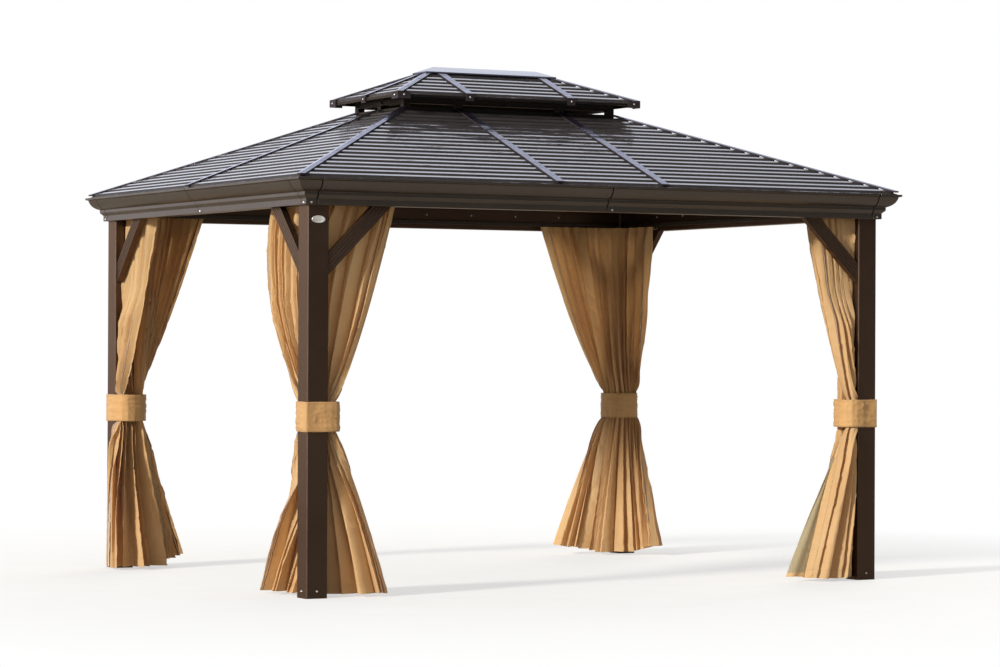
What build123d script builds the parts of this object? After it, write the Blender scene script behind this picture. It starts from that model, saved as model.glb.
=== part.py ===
"""Hardtop gazebo: four posts with knee braces, a moulded eave cornice, a ribbed metal hip roof
with a raised vent roof on top, and a curtain tied back at each post.

Millimetres. The origin is on the ground under the middle of the roof, +X runs along the long
side, -Y faces the front and +Z is up.
"""

import os
from math import cos, floor, radians, sqrt, tan

from build123d import *

# Overall sizes
eave_length = 3612.0
eave_width = 2910.0
clear_height = 1965.0
roof_pitch = 21.3

# Posts and feet
post_width = 115.0
post_wall = 3.0
post_chamfer = 4.0
foot_gap = 0.3
foot_plate = 6.0
foot_flange_height = 60.0
foot_flange_gauge = 4.0
anchor_radius = 6.0
anchor_spacing = 60.0

# Cornice section, from the bottom edge up
fascia_depth = 21.0
band_height = 31.0
bevel_size = 16.0
fillet_height = 17.0
cove_rise = 54.0
cove_run = 50.0
cove_sag = 11.0
lip_run = 14.0
lip_slant = 4.0
lip_height = 10.0
fascia_wall = 3.0
corner_leg = 58.0
cornice_gap = 7.0
joint_gap = 3.0

# Beams, braces and curtain rails
beam_width = 50.0
beam_wall = 3.0
brace_width = 75.0
brace_thickness = 35.0
brace_reach = 350.0
brace_edge = 10.5
groove_width = 6.0
groove_depth = 3.0
groove_count = 4
rail_width = 30.0
rail_height = 22.0
rail_wall = 2.5
rail_slot = 12.0
rail_rise = 25.0

# Ribbed roof sheets
sheet_gauge = 2.5
sheet_inset = 14.0
rib_pitch = 63.0
rib_middle_share = 0.5
rib_height = 9.5
rib_top = 23.0
rib_base = 38.0
hip_gap = 6.0

# Roof framing and the strips that cover the sheet joints
rafter_width = 40.0
rafter_depth = 45.0
strip_width = 46.0
strip_gauge = 6.5
hip_flange = 22.0

# Vent opening and the raised roof over it
vent_share = 0.209
ridge_share = 0.92
seam_share = 0.481
ring_width = 40.0
ring_height = 75.0
ring_upstand = 4.0
upper_end_overhang = 91.0
upright_height = 20.0
upper_ring_height = 52.0
recess_height = 38.0
recess_depth = 4.0
recess_margin = 26.0
upper_rafter_depth = 20.0
upper_sheet_inset = 3.0
trim_height = 14.0
trim_wall = 4.0
trim_lip = 15.0
tab_drop = 25.0
corner_tab = 70.0
ridge_beam_width = 40.0
ridge_beam_depth = 40.0
ridge_lap = 28.0

# Curtains and their tie-backs
soft_gap = 0.3
curtain_gap = 3.0
curtain_inset = 7.0
curtain_gather = 400.0
curtain_fold = 30.0
waist_inset = 7.0
waist_reach = 72.0
waist_fold = 48.0
hem_height = 32.0
hem_lap = 80.0
hem_reach = 340.0
hem_fold = 150.0
tie_low = 832.0
tie_height = 150.0
tie_gauge = 3.0
tie_slack = 2.0

# Worked-out sizes
overrun = post_width
slope = tan(radians(roof_pitch))
along_slope = 1 / cos(radians(roof_pitch))
cornice_run = bevel_size + cove_run + lip_run
cornice_rise = band_height + bevel_size + fillet_height + cove_rise + lip_slant + lip_height
frame_inset = cornice_run + fascia_depth
lip_top = clear_height + cornice_rise
sheet_depth = rib_height + sheet_gauge
face_x = eave_length / 2 - frame_inset
face_y = eave_width / 2 - frame_inset
inner_x = face_x - post_width
inner_y = face_y - post_width
vent_width = vent_share * eave_width
vent_run = (eave_width - vent_width) / 2
vent_length = eave_length - 2 * vent_run
ridge_half = ridge_share * (vent_length - vent_width) / 2
upper_length = vent_length + 2 * upper_end_overhang
upper_width = upper_length - 2 * ridge_half
upper_side_overhang = (upper_width - vent_width) / 2
seam_offset = seam_share * vent_length / 2
CORNERS = {"front_left": (-1, -1), "front_right": (1, -1), "back_left": (-1, 1), "back_right": (1, 1)}
SIDES = ("front", "right", "back", "left")
NEXT_SIDE = {"front": "right", "right": "back", "back": "left", "left": "front"}
OUTWARD = {"front": (0, -1), "right": (1, 0), "back": (0, 1), "left": (-1, 0)}


class Deck:
    """One hipped deck of four faces of equal pitch; its heights are those of the rib crests."""

    def __init__(self, length, width, eave_height):
        self.length = length
        self.width = width
        self.eave_height = eave_height

    def half(self, side):
        """Half the length of a side's eave."""
        return (self.length if side in ("front", "back") else self.width) / 2

    def reach(self, side):
        """How far a side's eave lies from the middle of the roof."""
        return (self.width if side in ("front", "back") else self.length) / 2

    def height(self, inset):
        """Height of the crests at a level distance in from the eave."""
        return self.eave_height + inset * slope

    def point(self, side, along, inset):
        """Plan point on a side: along the eave from its middle, and in from the eave."""
        out_x, out_y = OUTWARD[side]
        away = self.reach(side) - inset
        return (out_x * away - out_y * along, out_y * away + out_x * along)

    def plane(self, side):
        """The crest plane of a side: x along the eave, y up the slope, z outward."""
        out_x, out_y = OUTWARD[side]
        middle = self.point(side, 0, 0)
        along = (-out_y, out_x, 0)
        lean = slope * cos(radians(roof_pitch))
        normal = (out_x * lean, out_y * lean, cos(radians(roof_pitch)))
        return Plane(origin=(*middle, self.eave_height), x_dir=along, z_dir=normal)

    def outline(self, side, corners):
        """Plan outline from (along, inset) pairs."""
        return [self.point(side, along, inset) for along, inset in corners]


main_deck = Deck(eave_length, eave_width, lip_top + sheet_depth * along_slope - sheet_inset * slope)
beam_top = main_deck.height(frame_inset) - (sheet_depth + rafter_depth) * along_slope
ring_top = main_deck.height(vent_run) + ring_upstand
upper_ring_low = ring_top + upright_height
upper_ring_top = upper_ring_low + upper_ring_height
ring_cover = min(upper_end_overhang, upper_side_overhang)
upper_eave = upper_ring_top + (sheet_depth + upper_rafter_depth) * along_slope - ring_cover * slope
upper_deck = Deck(upper_length, upper_width, upper_eave)
trim_top = upper_deck.height(upper_sheet_inset) - sheet_depth * along_slope


def save(part, name):
    """Labels a finished node and writes it."""
    part.label = name
    export_step(part, f"parts/{name}.step")


def side_plane(side, along, inset, height):
    """An upright plane across a side: x outward, y up; extruding from it runs back along the side."""
    out_x, out_y = OUTWARD[side]
    place = main_deck.point(side, along, inset)
    return Plane(origin=(*place, height), x_dir=(out_x, out_y, 0), z_dir=(out_y, -out_x, 0))


def face_slab(deck, side, low, high, corners):
    """A slab on a deck face, between two distances from its crest plane, cut to (along, inset) corners."""
    with BuildPart() as slab:
        with BuildSketch(deck.plane(side).offset(low)):
            Rectangle(4 * deck.half(side), 4 * deck.reach(side))
        extrude(amount=high - low)
        with BuildSketch():
            with BuildLine():
                Polyline(*deck.outline(side, corners), close=True)
            make_face()
        extrude(amount=2 * deck.height(deck.reach(side)), mode=Mode.INTERSECT)
    return slab.part


def rib_section(start, length):
    """Up-slope outline of a ribbed sheet as (distance up the slope, distance from the crests)."""
    skin = [(-overrun, -rib_height)]
    for number in range(floor((length - start) / rib_pitch)):
        middle = start + (number + rib_middle_share) * rib_pitch
        skin.append((middle - rib_base / 2, -rib_height))
        skin.append((middle - rib_top / 2, 0))
        skin.append((middle + rib_top / 2, 0))
        skin.append((middle + rib_base / 2, -rib_height))
    skin.append((length + overrun, -rib_height))
    under = [(distance, level - sheet_gauge) for distance, level in reversed(skin)]
    return skin + under


def ribbed_sheet(deck, side, low, top, corners):
    """One ribbed roof sheet of a deck face, cut to (along, inset) corners."""
    face = deck.plane(side)
    across = Plane(origin=face.origin, x_dir=face.y_dir, z_dir=face.x_dir)
    with BuildPart() as sheet:
        with BuildSketch(across):
            with BuildLine():
                Polyline(*rib_section(low * along_slope, top * along_slope), close=True)
            make_face()
        extrude(amount=2 * deck.half(side), both=True)
        with BuildSketch():
            with BuildLine():
                Polyline(*deck.outline(side, corners), close=True)
            make_face()
        extrude(amount=2 * deck.height(deck.reach(side)), mode=Mode.INTERSECT)
    return sheet.part


def panel_corners(deck, side, low, top, near, far):
    """Corners of a sheet between two places along a side, cut back from the hips and the top."""
    hip = deck.half(side) - hip_gap * sqrt(2)
    ends = [near, far]
    ends += [turn for turn in (hip - top, top - hip) if near < turn < far]
    upper = [(along, min(top, hip - abs(along))) for along in sorted(ends, reverse=True)]
    lower = [(max(near, low - hip), low), (min(far, hip - low), low)]
    lower = [corner for corner in lower if corner not in upper]
    return lower + [corner for corner in upper if corner[1] > low]


def side_sheets(deck, side, low, top):
    """All the sheets of one side: three on a long side, two on an end."""
    seam = seam_offset if side in ("front", "back") else 0
    gap = joint_gap / 2
    half = deck.half(side)
    spans = [(-half, -seam - gap), (seam + gap, half)]
    if seam > 0:
        spans.append((gap - seam, seam - gap))
    with BuildPart() as sheets:
        for near, far in spans:
            add(ribbed_sheet(deck, side, low, top, panel_corners(deck, side, low, top, near, far)))
    return sheets.part


def hip_band(deck, side, levels, width, low, top):
    """A band along the hip between a side and the next one, folded into two flanges."""
    span = width * sqrt(2)
    with BuildPart() as band:
        for face, sign in ((side, 1), (NEXT_SIDE[side], -1)):
            half = deck.half(face)
            corners = [(half - low, low), (half - top, top)]
            corners += [(half - top - span, top), (half - low - span, low)]
            add(face_slab(deck, face, *levels, [(sign * along, inset) for along, inset in corners]))
    return band.part


def seam_places(side):
    """Where the seams of a side lie along it."""
    return (-seam_offset, seam_offset) if side in ("front", "back") else (0,)


def seam_bar(deck, side, place, levels, width, low, top):
    """A bar up the slope on one seam line, between two levels from the crest plane."""
    near = place - width / 2
    far = place + width / 2
    return face_slab(deck, side, *levels, [(near, low), (far, low), (far, top), (near, top)])


# Posts: square tubes from the ground to the top of the beams
for corner, (sx, sy) in CORNERS.items():
    with BuildPart() as post:
        with BuildSketch():
            with Locations((sx * (face_x - post_width / 2), sy * (face_y - post_width / 2))):
                Rectangle(post_width, post_width)
            chamfer(vertices(), length=post_chamfer)
            with Locations((sx * (face_x - post_width / 2), sy * (face_y - post_width / 2))):
                Rectangle(post_width - 2 * post_wall, post_width - 2 * post_wall, mode=Mode.SUBTRACT)
        extrude(amount=beam_top)
    save(post.part, f"post_{corner}")

# Feet: a plate with two flanges that the post slips over
foot_size = post_width - 2 * post_wall - 2 * foot_gap
with BuildPart() as feet:
    with BuildSketch():
        with GridLocations(2 * face_x - post_width, 2 * face_y - post_width, 2, 2):
            Rectangle(foot_size, foot_size)
    extrude(amount=foot_plate)
    with BuildSketch():
        with GridLocations(2 * face_x - post_width, 2 * face_y - post_width, 2, 2):
            with GridLocations(0, foot_size - foot_flange_gauge, 1, 2):
                Rectangle(foot_size, foot_flange_gauge)
    extrude(amount=foot_flange_height)
    with BuildSketch():
        with GridLocations(2 * face_x - post_width, 2 * face_y - post_width, 2, 2):
            with GridLocations(anchor_spacing, 0, 2, 1):
                Circle(anchor_radius)
    extrude(amount=foot_plate, mode=Mode.SUBTRACT)
save(feet.part, "post_feet")

# Beams: rectangular tubes between the posts, flush with their outer faces
beam_height = beam_top - clear_height
beam_middle = clear_height + beam_height / 2
for side in SIDES:
    reach = main_deck.half(side) - frame_inset - post_width
    with BuildPart() as beam:
        with BuildSketch(side_plane(side, reach, frame_inset + beam_width / 2, beam_middle)):
            Rectangle(beam_width, beam_height)
            Rectangle(beam_width - 2 * beam_wall, beam_height - 2 * beam_wall, mode=Mode.SUBTRACT)
        extrude(amount=2 * reach)
    save(beam.part, f"beam_{side}")

# Curtain rails: slotted channels along the inner faces of the beams
rail_inset = frame_inset + beam_width + rail_width / 2
rail_middle = clear_height + rail_rise + rail_height / 2
with BuildPart() as rails:
    for side in SIDES:
        reach = main_deck.half(side) - frame_inset - post_width
        with BuildSketch(side_plane(side, reach, rail_inset, rail_middle)):
            Rectangle(rail_width, rail_height)
            Rectangle(rail_width - 2 * rail_wall, rail_height - 2 * rail_wall, mode=Mode.SUBTRACT)
            with Locations((0, -rail_height / 2)):
                Rectangle(rail_slot, rail_height, mode=Mode.SUBTRACT)
        extrude(amount=2 * reach)
save(rails.part, "curtain_rails")


# Knee braces: grooved bars cut at 45 degrees between a post and a beam
def brace_outline(reach, width):
    """A strip at 45 degrees, from the post face along the beam and below the beam."""
    shorter = reach - width * sqrt(2)
    return [(0, -reach), (reach, 0), (shorter, 0), (0, -shorter)]


def knee_brace(plane):
    """One brace on its middle plane, grooved on both faces."""
    step = (brace_width - 2 * brace_edge - groove_width) / (groove_count - 1)
    with BuildPart() as brace:
        with BuildSketch(plane):
            with BuildLine():
                Polyline(*brace_outline(brace_reach, brace_width), close=True)
            make_face()
        extrude(amount=brace_thickness / 2, both=True)
        for level in (brace_thickness / 2 - groove_depth, -brace_thickness / 2):
            with BuildSketch(plane.offset(level)):
                for number in range(groove_count):
                    groove_reach = brace_reach - (brace_edge + number * step) * sqrt(2)
                    with BuildLine():
                        Polyline(*brace_outline(groove_reach, groove_width), close=True)
                    make_face()
            extrude(amount=groove_depth, mode=Mode.SUBTRACT)
    return brace.part


for corner, (sx, sy) in CORNERS.items():
    long_start = (sx * inner_x, sy * (face_y - beam_width / 2), clear_height)
    short_start = (sx * (face_x - beam_width / 2), sy * inner_y, clear_height)
    long_plane = Plane(origin=long_start, x_dir=(-sx, 0, 0), z_dir=(0, sx, 0))
    short_plane = Plane(origin=short_start, x_dir=(0, -sy, 0), z_dir=(-sy, 0, 0))
    with BuildPart() as braces:
        add(knee_brace(long_plane))
        add(knee_brace(short_plane))
    save(braces.part, f"braces_{corner}")


# Cornice: a hollow moulding with a bevel, a fillet and a cove under the lip
def cornice_section(plane):
    """The moulding's section, from the frame face outward and from its bottom edge up."""
    bevel_out = fascia_depth + bevel_size
    bevel_top = band_height + bevel_size
    fillet_top = bevel_top + fillet_height
    cove_out = bevel_out + cove_run
    cove_top = fillet_top + cove_rise
    with BuildSketch(plane) as section:
        with BuildLine():
            Polyline(
                (0, 0),
                (fascia_depth, 0),
                (fascia_depth, band_height),
                (bevel_out, bevel_top),
                (bevel_out, fillet_top),
            )
            SagittaArc((bevel_out, fillet_top), (cove_out, cove_top), -cove_sag)
            Polyline(
                (cove_out, cove_top),
                (cove_out + lip_run, cove_top + lip_slant),
                (cove_out + lip_run, cornice_rise),
                (0, cornice_rise),
                (0, 0),
            )
        make_face()
        offset(amount=-fascia_wall, kind=Kind.INTERSECTION, mode=Mode.SUBTRACT)
    return section.sketch


def corner_arm(side, sign):
    """One leg of a cornice corner, cut on the mitre."""
    half = main_deck.half(side)
    leg = half - cornice_run - corner_leg
    mitre = [(leg, 0), (half, 0), (half - frame_inset, frame_inset), (leg, frame_inset)]
    turned = [(sign * along, inset) for along, inset in mitre]
    start = half if sign > 0 else -leg
    with BuildPart() as arm:
        extrude(cornice_section(side_plane(side, start, frame_inset, clear_height)), amount=half - leg)
        with BuildSketch():
            with BuildLine():
                Polyline(*main_deck.outline(side, turned), close=True)
            make_face()
        extrude(amount=2 * lip_top, mode=Mode.INTERSECT)
    return arm.part


for side in SIDES:
    run_end = main_deck.half(side) - cornice_run - corner_leg - cornice_gap
    with BuildPart() as fascia:
        for start in (run_end, -cornice_gap / 2):
            section = cornice_section(side_plane(side, start, frame_inset, clear_height))
            extrude(section, amount=run_end - cornice_gap / 2)
    save(fascia.part, f"fascia_{side}")

with BuildPart() as corners:
    for side in SIDES:
        add(corner_arm(side, 1))
        add(corner_arm(NEXT_SIDE[side], -1))
save(corners.part, "fascia_corners")

# Main roof: rafters, ribbed sheets and the strips over their joints
sheet_top = vent_run - joint_gap
rafter_levels = (-sheet_depth - rafter_depth, -sheet_depth)
strip_levels = (0, strip_gauge)
with BuildPart() as rafters:
    for side in SIDES:
        add(hip_band(main_deck, side, rafter_levels, rafter_width / 2, frame_inset, vent_run))
        for place in seam_places(side):
            add(seam_bar(main_deck, side, place, rafter_levels, rafter_width, frame_inset, vent_run))
save(rafters.part, "roof_rafters")

for side in SIDES:
    save(side_sheets(main_deck, side, sheet_inset, sheet_top), f"roof_sheets_{side}")

with BuildPart() as caps:
    for side in SIDES:
        add(hip_band(main_deck, side, strip_levels, hip_flange, sheet_inset, sheet_top))
save(caps.part, "hip_caps")

with BuildPart() as strips:
    for side in SIDES:
        for place in seam_places(side):
            add(seam_bar(main_deck, side, place, strip_levels, strip_width, sheet_inset, sheet_top))
save(strips.part, "seam_strips")

# Vent: a curb ring, short uprights and the ring that carries the raised roof
with BuildPart() as curb:
    with BuildSketch(Plane.XY.offset(ring_top - ring_height)):
        Rectangle(vent_length, vent_width)
        Rectangle(vent_length - 2 * ring_width, vent_width - 2 * ring_width, mode=Mode.SUBTRACT)
    extrude(amount=ring_height)
save(curb.part, "vent_curb")

ring_half_x = (vent_length - ring_width) / 2
ring_half_y = (vent_width - ring_width) / 2
upright_rows = (-ring_half_x, -seam_offset, seam_offset, ring_half_x)
upright_places = [(x, y) for x in upright_rows for y in (-ring_half_y, ring_half_y)]
upright_places += [(-ring_half_x, 0), (ring_half_x, 0)]
with BuildPart() as uprights:
    with BuildSketch(Plane.XY.offset(ring_top)):
        with Locations(*upright_places):
            Rectangle(ring_width, ring_width)
    extrude(amount=upright_height)
save(uprights.part, "vent_uprights")

with BuildPart() as upper_ring:
    with BuildSketch(Plane.XY.offset(upper_ring_low)):
        Rectangle(vent_length, vent_width)
        Rectangle(vent_length - 2 * ring_width, vent_width - 2 * ring_width, mode=Mode.SUBTRACT)
    extrude(amount=upper_ring_height)
    for side in SIDES:
        half = (vent_length if side in ("front", "back") else vent_width) / 2
        breaks = sorted({-half, 0, half, *seam_places(side)})
        out_x, out_y = OUTWARD[side]
        middle = main_deck.point(side, 0, vent_run + recess_depth)
        face = Plane(
            origin=(*middle, upper_ring_low + upper_ring_height / 2),
            x_dir=(-out_y, out_x, 0),
            z_dir=(out_x, out_y, 0),
        )
        with BuildSketch(face):
            for near, far in zip(breaks[:-1], breaks[1:]):
                with Locations(((near + far) / 2, 0)):
                    SlotOverall(far - near - 2 * recess_margin, recess_height)
        extrude(amount=recess_depth, mode=Mode.SUBTRACT)
save(upper_ring.part, "upper_ring")

# Raised roof: rafters, ridge beam, sheets, eave trim and cover strips
upper_sheet_top = upper_width / 2 - hip_gap
upper_rafter_levels = (-sheet_depth - upper_rafter_depth, -sheet_depth)
rafter_room = rafter_width / 2 * (1 + sqrt(2)) + joint_gap
bar_stop = (upper_width - ridge_beam_width) / 2
seam_stop = min(bar_stop, upper_length / 2 - seam_offset - rafter_room)
hip_stop = upper_width / 2 - rafter_room
with BuildPart() as upper_rafters:
    for side in SIDES:
        add(hip_band(upper_deck, side, upper_rafter_levels, rafter_width / 2, trim_lip, hip_stop))
        stop = seam_stop if side in ("front", "back") else bar_stop
        for place in seam_places(side):
            add(seam_bar(upper_deck, side, place, upper_rafter_levels, rafter_width, trim_lip, stop))
save(upper_rafters.part, "upper_rafters")

ridge_beam_top = upper_deck.height(bar_stop) - sheet_depth * along_slope
with BuildPart() as ridge_beam:
    with BuildSketch(Plane.XY.offset(ridge_beam_top - ridge_beam_depth)):
        Rectangle(2 * ridge_half + ridge_beam_width, ridge_beam_width)
    extrude(amount=ridge_beam_depth)
save(ridge_beam.part, "ridge_beam")

for side in SIDES:
    save(side_sheets(upper_deck, side, upper_sheet_inset, upper_sheet_top), f"upper_sheets_{side}")

with BuildPart() as trim:
    for side in SIDES:
        half = upper_deck.half(side) - joint_gap / sqrt(2)
        for width, height in ((trim_wall, trim_height), (trim_lip, trim_wall)):
            with BuildSketch(Plane.XY.offset(trim_top - trim_height)):
                with BuildLine():
                    bar = [(-half, 0), (half, 0), (half - width, width), (width - half, width)]
                    Polyline(*upper_deck.outline(side, bar), close=True)
                make_face()
            extrude(amount=height)
save(trim.part, "upper_eave_trim")

strip_room = strip_width / 2 + hip_flange * sqrt(2) + joint_gap
strip_stop = upper_width / 2 - strip_room
tab_low = trim_top - tab_drop


def eave_tab(side, near, far):
    """A tab that folds down over the eave trim, between two places along a side."""
    with BuildPart() as tab:
        with BuildSketch(Plane.XY.offset(tab_low)):
            with BuildLine():
                outline = [(near, 0), (far, 0), (far, -strip_gauge), (near, -strip_gauge)]
                Polyline(*upper_deck.outline(side, outline), close=True)
            make_face()
        extrude(amount=upper_deck.height(0) - tab_low)
    return tab.part


with BuildPart() as upper_caps:
    for side in SIDES:
        half = upper_deck.half(side)
        next_half = upper_deck.half(NEXT_SIDE[side])
        add(hip_band(upper_deck, side, strip_levels, hip_flange, -strip_gauge, strip_stop))
        add(eave_tab(side, half - corner_tab, half + strip_gauge))
        add(eave_tab(NEXT_SIDE[side], corner_tab - next_half, -next_half - strip_gauge))
save(upper_caps.part, "upper_hip_caps")

with BuildPart() as upper_strips:
    for side in SIDES:
        for place in seam_places(side):
            stop = min(strip_stop, upper_deck.half(side) - abs(place) - strip_room)
            add(seam_bar(upper_deck, side, place, strip_levels, strip_width, -strip_gauge, stop))
            add(eave_tab(side, place - strip_width / 2, place + strip_width / 2))
save(upper_strips.part, "upper_seam_strips")

ridge_flange = upper_width / 2 - strip_stop + ridge_lap
ridge_inset = upper_width / 2
with BuildPart() as ridge_cap:
    for side in SIDES:
        top_half = upper_deck.half(side) - ridge_inset
        low_half = top_half + ridge_flange
        corners = [(-low_half, ridge_inset - ridge_flange), (low_half, ridge_inset - ridge_flange)]
        corners += [(top_half, ridge_inset), (-top_half, ridge_inset)] if top_half > 0 else [(0, ridge_inset)]
        add(face_slab(upper_deck, side, strip_gauge, 2 * strip_gauge, corners))
save(ridge_cap.part, "ridge_cap")


# Curtains: one gathered drape round the inner side of each post, drawn in by its tie-back
curtain_lap = post_width - beam_width - curtain_inset
waist_lap = post_width - waist_inset
curtain_top = clear_height + rail_rise - soft_gap
tie_top = tie_low + tie_height
brace_low = clear_height - brace_reach
drawn_share = (curtain_top - brace_low) / (curtain_top - tie_top)
brace_gather = curtain_gather + drawn_share * (waist_reach - curtain_gather)
drape_heights = (curtain_top, brace_low, tie_top, tie_low, hem_height)
drape_laps = (curtain_lap, curtain_lap, waist_lap, waist_lap, hem_lap)
drape_reaches = (curtain_gather, brace_gather, waist_reach, waist_reach, hem_reach)
drape_folds = (curtain_fold, curtain_fold, waist_fold, waist_fold, hem_fold)


def drape_wing(along, across, corner_x, corner_y):
    """The half of a drape that runs along one side from the inner edge of its post."""
    start = (corner_x, corner_y, 0)
    upright = Plane(origin=start, x_dir=along, z_dir=Vector(*along).cross(Vector(0, 0, 1)))
    sideways = Plane(origin=start, x_dir=across, z_dir=Vector(*across).cross(Vector(0, 0, 1)))
    outer_edge = list(zip(drape_reaches, drape_heights))
    back = [(-lap, height) for lap, height in zip(drape_laps, drape_heights)]
    front = list(zip(drape_folds, drape_heights))
    with BuildPart() as wing:
        with BuildSketch(upright):
            with BuildLine():
                Polyline((curtain_gap, hem_height), (curtain_gap, curtain_top), *outer_edge, close=True)
            make_face()
        extrude(amount=2 * hem_reach, both=True)
        with BuildSketch(sideways):
            with BuildLine():
                Polyline(*back, *reversed(front), close=True)
            make_face()
        extrude(amount=2 * curtain_gather, both=True, mode=Mode.INTERSECT)
    return wing.part


for corner, (sx, sy) in CORNERS.items():
    with BuildPart() as drape:
        add(drape_wing((-sx, 0, 0), (0, -sy, 0), sx * inner_x, sy * inner_y))
        add(drape_wing((0, -sy, 0), (-sx, 0, 0), sx * inner_x, sy * inner_y))
    save(drape.part, f"curtain_{corner}")

# Tie-backs: a band round each post and its drape
for corner, (sx, sy) in CORNERS.items():
    outer = post_width + soft_gap
    inner = waist_reach + tie_slack
    shoulder = waist_fold + tie_slack
    loop = [(-outer, -outer), (inner, -outer), (inner, shoulder), (shoulder, inner), (-outer, inner)]
    with BuildPart() as band:
        with BuildSketch(Plane.XY.offset(tie_low)):
            with BuildLine():
                Polyline(*[(sx * (inner_x - u), sy * (inner_y - v)) for u, v in loop], close=True)
            make_face()
            offset(amount=tie_gauge, kind=Kind.INTERSECTION)
            with BuildLine():
                Polyline(*[(sx * (inner_x - u), sy * (inner_y - v)) for u, v in loop], close=True)
            make_face(mode=Mode.SUBTRACT)
        extrude(amount=tie_height)
    save(band.part, f"tieback_{corner}")
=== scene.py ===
import math
import random

import bpy
import numpy as np
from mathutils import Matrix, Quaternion, Vector, noise


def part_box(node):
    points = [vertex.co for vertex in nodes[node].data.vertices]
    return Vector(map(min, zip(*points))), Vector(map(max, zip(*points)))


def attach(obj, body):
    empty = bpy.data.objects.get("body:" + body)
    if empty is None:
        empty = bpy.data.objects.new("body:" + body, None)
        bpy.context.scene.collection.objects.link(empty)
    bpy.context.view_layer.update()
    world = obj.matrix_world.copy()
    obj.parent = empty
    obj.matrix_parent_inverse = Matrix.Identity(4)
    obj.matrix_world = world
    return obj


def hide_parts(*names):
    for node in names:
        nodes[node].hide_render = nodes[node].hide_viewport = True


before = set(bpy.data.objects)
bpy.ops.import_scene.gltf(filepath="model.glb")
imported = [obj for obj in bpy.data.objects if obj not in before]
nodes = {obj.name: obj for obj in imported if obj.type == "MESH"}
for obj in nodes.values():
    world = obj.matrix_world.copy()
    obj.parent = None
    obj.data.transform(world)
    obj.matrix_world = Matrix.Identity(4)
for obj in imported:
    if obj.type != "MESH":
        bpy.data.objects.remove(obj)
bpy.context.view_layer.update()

# Corners of the frame, as signs of X and Y
CORNERS = {
    "front_left": (-1, -1),
    "front_right": (1, -1),
    "back_left": (-1, 1),
    "back_right": (1, 1),
}

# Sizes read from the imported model
post_low, post_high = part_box("post_front_left")
outer_x = -post_low[0]
outer_y = -post_low[1]
inner_x = -post_high[0]
inner_y = -post_high[1]
post_width = outer_x - inner_x
tie_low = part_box("tieback_front_left")[0][2]
tie_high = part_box("tieback_front_left")[1][2]
curtain_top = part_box("curtain_front_left")[1][2]
curtain_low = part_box("curtain_front_left")[0][2]
rail_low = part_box("curtain_rails")[0][2]
rail_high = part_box("curtain_rails")[1][2]
beam_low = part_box("beam_front")[0][2]
beam_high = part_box("beam_front")[1][2]
beam_inner = -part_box("beam_front")[1][1]


# Node helpers
class Graph:
    """The node tree of a material or a world, with short calls for the nodes it uses."""

    def __init__(self, owner):
        self.owner = owner
        owner.use_nodes = True
        self.tree = owner.node_tree
        self.tree.nodes.clear()

    def add(self, kind, **values):
        node = self.tree.nodes.new(kind)
        for key, value in values.items():
            setattr(node, key, value)
        return node

    def link(self, source, target):
        self.tree.links.new(source, target)

    def put(self, socket, value):
        if isinstance(value, bpy.types.NodeSocket):
            self.link(value, socket)
        else:
            socket.default_value = value

    def math(self, operation, first, second=0.0):
        node = self.add("ShaderNodeMath", operation=operation)
        self.put(node.inputs[0], first)
        self.put(node.inputs[1], second)
        return node.outputs[0]

    def coordinates(self, output="Object"):
        return self.add("ShaderNodeTexCoord").outputs[output]

    def stretched(self, vector, scale):
        node = self.add("ShaderNodeMapping")
        self.link(vector, node.inputs["Vector"])
        node.inputs["Scale"].default_value = scale
        return node.outputs["Vector"]

    def noise(self, vector, scale, detail=3.0, roughness=0.5):
        node = self.add("ShaderNodeTexNoise")
        self.link(vector, node.inputs["Vector"])
        node.inputs["Scale"].default_value = scale
        node.inputs["Detail"].default_value = detail
        node.inputs["Roughness"].default_value = roughness
        return node.outputs["Fac"]

    def ramp(self, factor, *stops):
        node = self.add("ShaderNodeValToRGB")
        self.link(factor, node.inputs["Fac"])
        elements = node.color_ramp.elements
        while len(elements) < len(stops):
            elements.new(0.5)
        for element, (place, colour) in zip(elements, stops):
            element.position = place
            element.color = (*colour, 1.0)
        return node.outputs["Color"]

    def level(self, factor, low, high, start=0.0, end=1.0):
        node = self.add("ShaderNodeMapRange")
        self.put(node.inputs["Value"], factor)
        node.inputs["From Min"].default_value = start
        node.inputs["From Max"].default_value = end
        node.inputs["To Min"].default_value = low
        node.inputs["To Max"].default_value = high
        return node.outputs["Result"]

    def mix(self, factor, first, second):
        node = self.add("ShaderNodeMix", data_type="RGBA")
        self.put(node.inputs["Factor"], factor)
        # Inputs 6 and 7 take the two colours, and output 2 gives their mix
        for socket, value in ((node.inputs[6], first), (node.inputs[7], second)):
            self.put(socket, (*value, 1.0) if isinstance(value, tuple) else value)
        return node.outputs[2]

    def bump(self, height, distance, strength=1.0, normal=None):
        node = self.add("ShaderNodeBump")
        self.link(height, node.inputs["Height"])
        node.inputs["Distance"].default_value = distance
        node.inputs["Strength"].default_value = strength
        if normal is not None:
            self.link(normal, node.inputs["Normal"])
        return node.outputs["Normal"]

    def shader(self, **sockets):
        node = self.add("ShaderNodeBsdfPrincipled")
        for key, value in sockets.items():
            self.put(node.inputs[key.replace("_", " ")], value)
        return node

    def finish(self, surface):
        output = self.add("ShaderNodeOutputMaterial")
        self.link(surface, output.inputs["Surface"])
        return self.owner


def new_material(name):
    return Graph(bpy.data.materials.new(name))


# Sizes and colours of surface detail
edge_radius = 0.004
thread_pitch = 0.0011
stitch_width = 0.0018
stitch_pitch = 0.0045
stitch_share = 0.68
tape_width = 0.018
DUST = (0.16, 0.145, 0.14)
TAPE_BROWN = (0.20, 0.085, 0.035)
TAPE_PALE = (0.78, 0.68, 0.60)
LIGHT_THROUGH = (0.88, 0.46, 0.11)


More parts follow.
